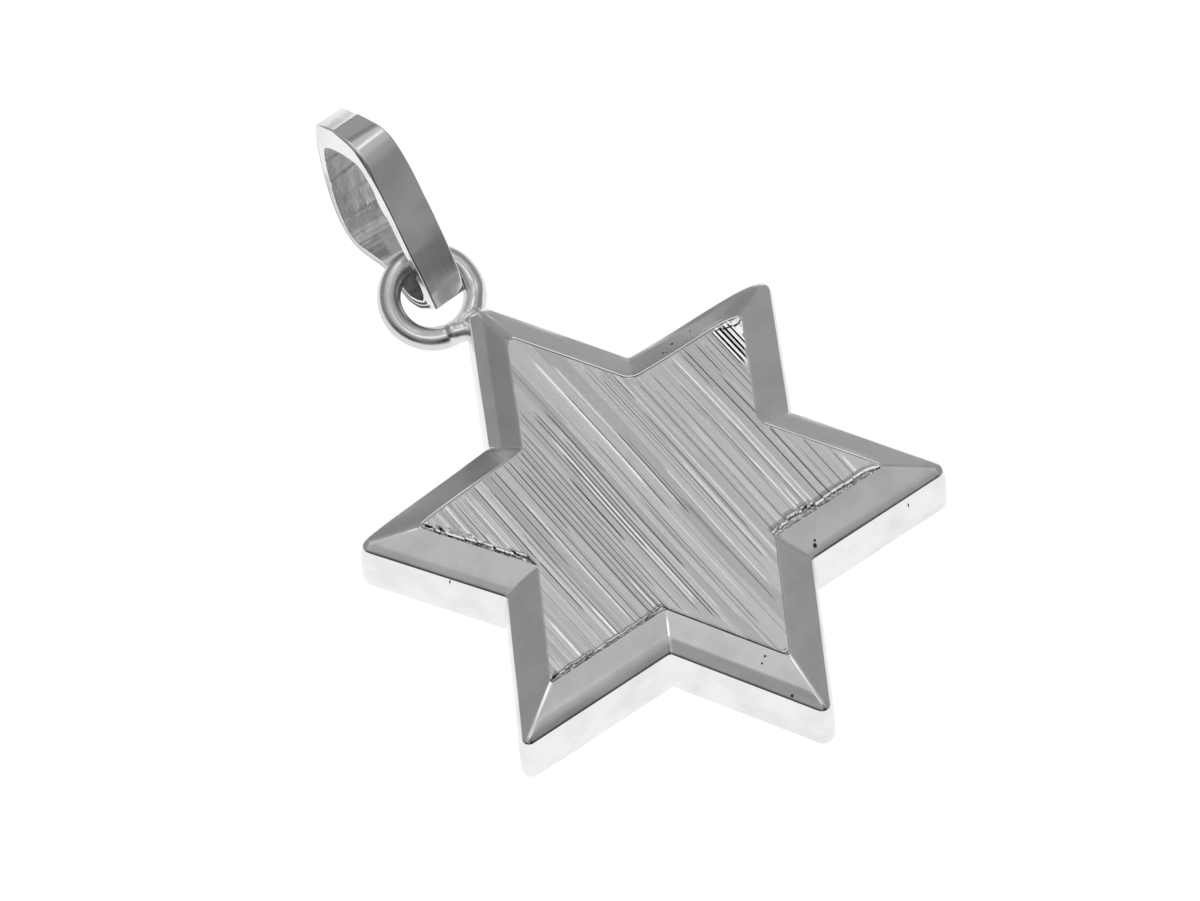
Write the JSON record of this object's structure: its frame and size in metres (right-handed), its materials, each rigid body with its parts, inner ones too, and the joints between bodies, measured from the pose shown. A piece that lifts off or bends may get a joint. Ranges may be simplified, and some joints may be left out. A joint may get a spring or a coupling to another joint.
{
  "type": "star pendant",
  "caption": "Solid star pendant with a bevelled rim, an engraved centre, a soldered jump ring and a closed bail for a chain.",
  "frame": {"origin": "middle of the star's flat back, on the surface that it lies on", "axes": "+Y towards the jump ring and the bail, +Z out of the engraved face"},
  "size_m": [0.018, 0.0281, 0.0069],
  "materials": {
    "polished_silver": "polished, with fine wear and small casting pits",
    "engraved_silver": "satin, cut with close straight engraved lines"
  },
  "bodies": {
    "root": {"star_frame": "polished_silver", "engraved_centre": "engraved_silver", "bail": "polished_silver"}
  },
  "joints": []
}
